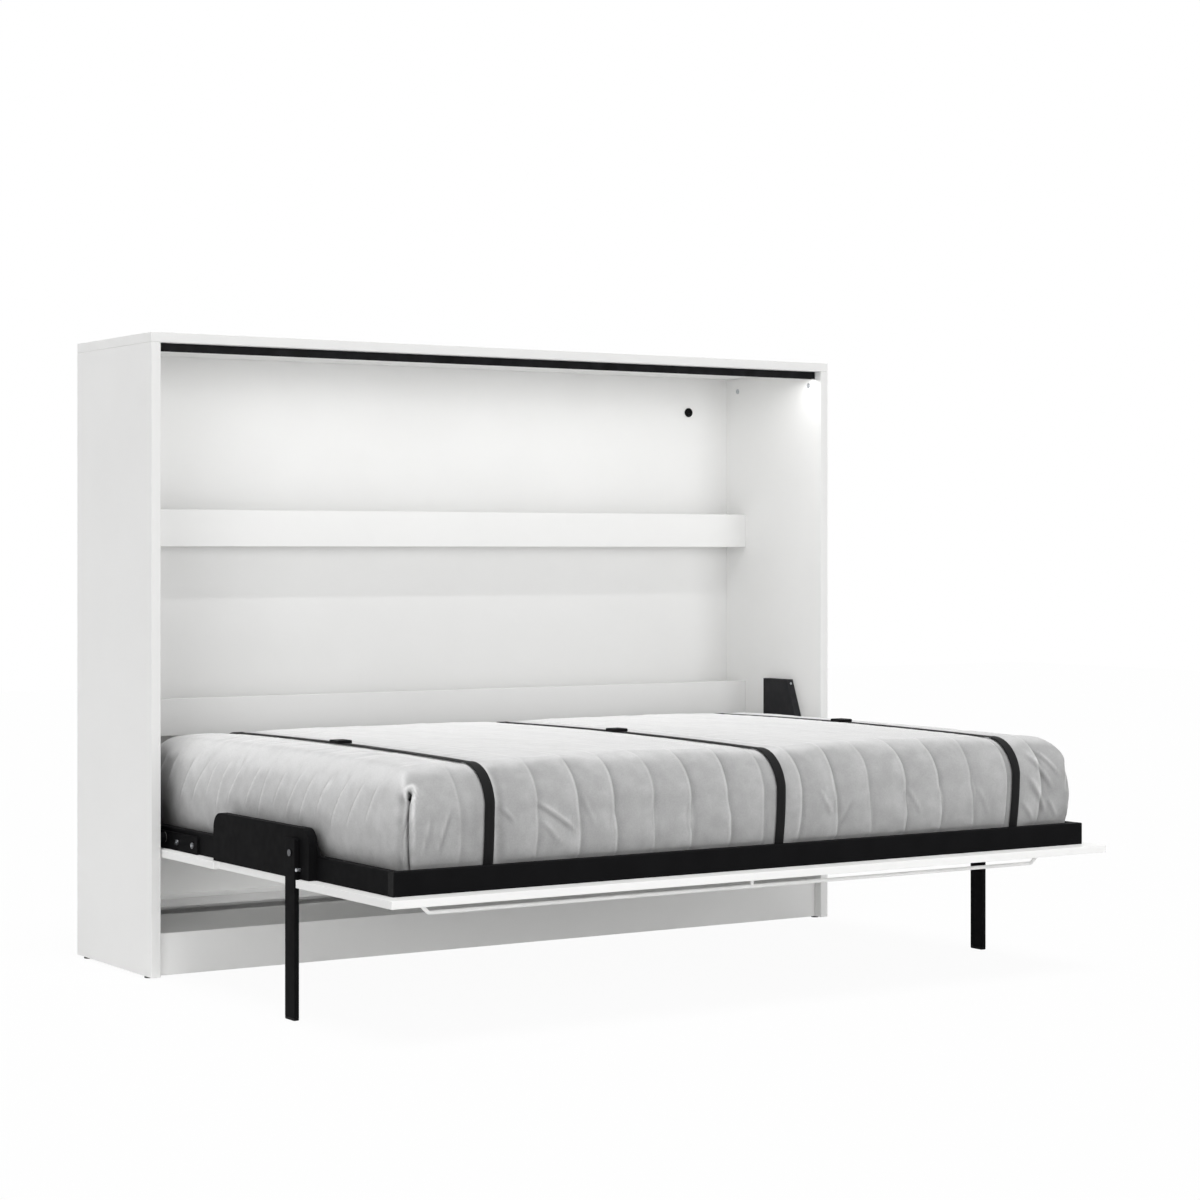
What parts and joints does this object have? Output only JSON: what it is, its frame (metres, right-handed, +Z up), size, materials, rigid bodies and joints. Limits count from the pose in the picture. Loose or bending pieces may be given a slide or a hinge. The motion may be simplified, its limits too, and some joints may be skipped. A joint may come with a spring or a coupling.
{
  "type": "side-folding wall bed",
  "caption": "Wall bed that folds down sideways from a shallow white cabinet with lipped picture shelves, on a black steel frame with hinged legs, gas springs, a strapped mattress and a pull bar",
  "frame": {"origin": "on the floor, under the middle of the box around cabinet and opened bed", "axes": "X along the cabinet's width, +Y towards the wall behind it, +Z up"},
  "size_m": [2.115, 1.667, 1.611],
  "materials": {
    "white_laminate": "white satin laminate on chipboard",
    "black_steel": "black satin powder coat",
    "white_bar": "white powder coat on bar",
    "bright_steel": "bright zinc plate",
    "black_plastic": "moulded black plastic",
    "nylon": "moulded nylon",
    "lamp_black": "black anodised extrusion",
    "opal": "opal diffuser",
    "beech": "laminated beech",
    "mattress_cloth": "light grey short-pile cloth over foam",
    "webbing": "woven black webbing"
  },
  "bodies": {
    "cabinet": {"top_panel": "white_laminate", "left_side_panel": "white_laminate", "right_side_panel": "white_laminate", "back_panel": "white_laminate", "floor_board": "white_laminate", "plinth_board": "white_laminate", "upper_shelf_lip": "white_laminate", "upper_shelf_board": "white_laminate", "lower_shelf_lip": "white_laminate", "lower_shelf_board": "white_laminate", "stretcher_board": "white_laminate", "cabinet_glides": "nylon", "lamp_channel": "lamp_black", "lamp_diffuser": "opal", "wall_fixing_bushes": "black_plastic", "cam_locks": "bright_steel", "left_pivot_plate": "black_steel", "right_pivot_plate": "black_steel", "left_pivot_bush": "nylon", "right_pivot_bush": "nylon", "left_thrust_washer": "nylon", "right_thrust_washer": "nylon", "left_mechanism_cover": "black_steel", "right_mechanism_cover": "black_steel", "cover_screws": "bright_steel", "spring_upper_studs": "bright_steel"},
    "bed": {"bed_face_panel": "white_laminate", "front_rail": "black_steel", "rear_rail": "black_steel", "left_end_rail": "black_steel", "right_end_rail": "black_steel", "rail_end_caps": "black_plastic", "slat_bearers": "beech", "bed_slats": "beech", "mattress": "mattress_cloth", "left_strap": "webbing", "middle_strap": "webbing", "right_strap": "webbing", "strap_anchors": "black_plastic", "strap_buckles": "black_plastic", "left_hinge_arm": "black_steel", "right_hinge_arm": "black_steel", "hinge_arm_bolts": "bright_steel", "left_pivot_pin": "bright_steel", "right_pivot_pin": "bright_steel", "left_leg_bracket": "black_steel", "right_leg_bracket": "black_steel", "leg_pivot_pins": "bright_steel", "leg_stop_pins": "bright_steel", "handle_bar": "white_bar"},
    "left_leg_arm": {"left_leg": "black_steel", "left_leg_foot": "black_plastic"},
    "right_leg_arm": {"right_leg": "black_steel", "right_leg_foot": "black_plastic"},
    "left_gas_rod": {"left_spring_rod": "bright_steel"},
    "right_gas_rod": {"right_spring_rod": "bright_steel"},
    "left_gas_tube": {"left_spring_tube": "black_steel"},
    "right_gas_tube": {"right_spring_tube": "black_steel"}
  },
  "joints": [
    {"name": "bed_fold", "type": "hinge", "parent": "cabinet", "child": "bed", "pos_m": [0, 0.3995, 0.349], "axis": [-1, 0, 0], "range_deg": [0, 90]},
    {"name": "left_leg_fold", "type": "hinge", "parent": "bed", "child": "left_leg_arm", "pos_m": [-1.0215, -0.3495, 0.38], "axis": [1, 0, 0], "range_deg": [0, 90]},
    {"name": "left_rod_swing", "type": "hinge", "parent": "bed", "child": "left_gas_rod", "pos_m": [-1.0205, 0.5045, 0.349], "axis": [1, 0, 0], "range_deg": [0, 73.88]},
    {"name": "left_tube_slide", "type": "slide", "parent": "left_gas_rod", "child": "left_gas_tube", "axis": [0, 0, 1], "range_m": [0, 0.1205]},
    {"name": "right_leg_fold", "type": "hinge", "parent": "bed", "child": "right_leg_arm", "pos_m": [1.0215, -0.3495, 0.38], "axis": [1, 0, 0], "range_deg": [0, 90]},
    {"name": "right_rod_swing", "type": "hinge", "parent": "bed", "child": "right_gas_rod", "pos_m": [1.0205, 0.5045, 0.349], "axis": [1, 0, 0], "range_deg": [0, 73.88]},
    {"name": "right_tube_slide", "type": "slide", "parent": "right_gas_rod", "child": "right_gas_tube", "axis": [0, 0, 1], "range_m": [0, 0.1205]}
  ],
  "couplings": [
    {"joint": "left_rod_swing", "follows": "bed_fold", "ratio": 0.81981},
    {"joint": "left_tube_slide", "follows": "bed_fold", "m_per_rad": 0.076369},
    {"joint": "right_rod_swing", "follows": "bed_fold", "ratio": 0.81981},
    {"joint": "right_tube_slide", "follows": "bed_fold", "m_per_rad": 0.076369}
  ]
}
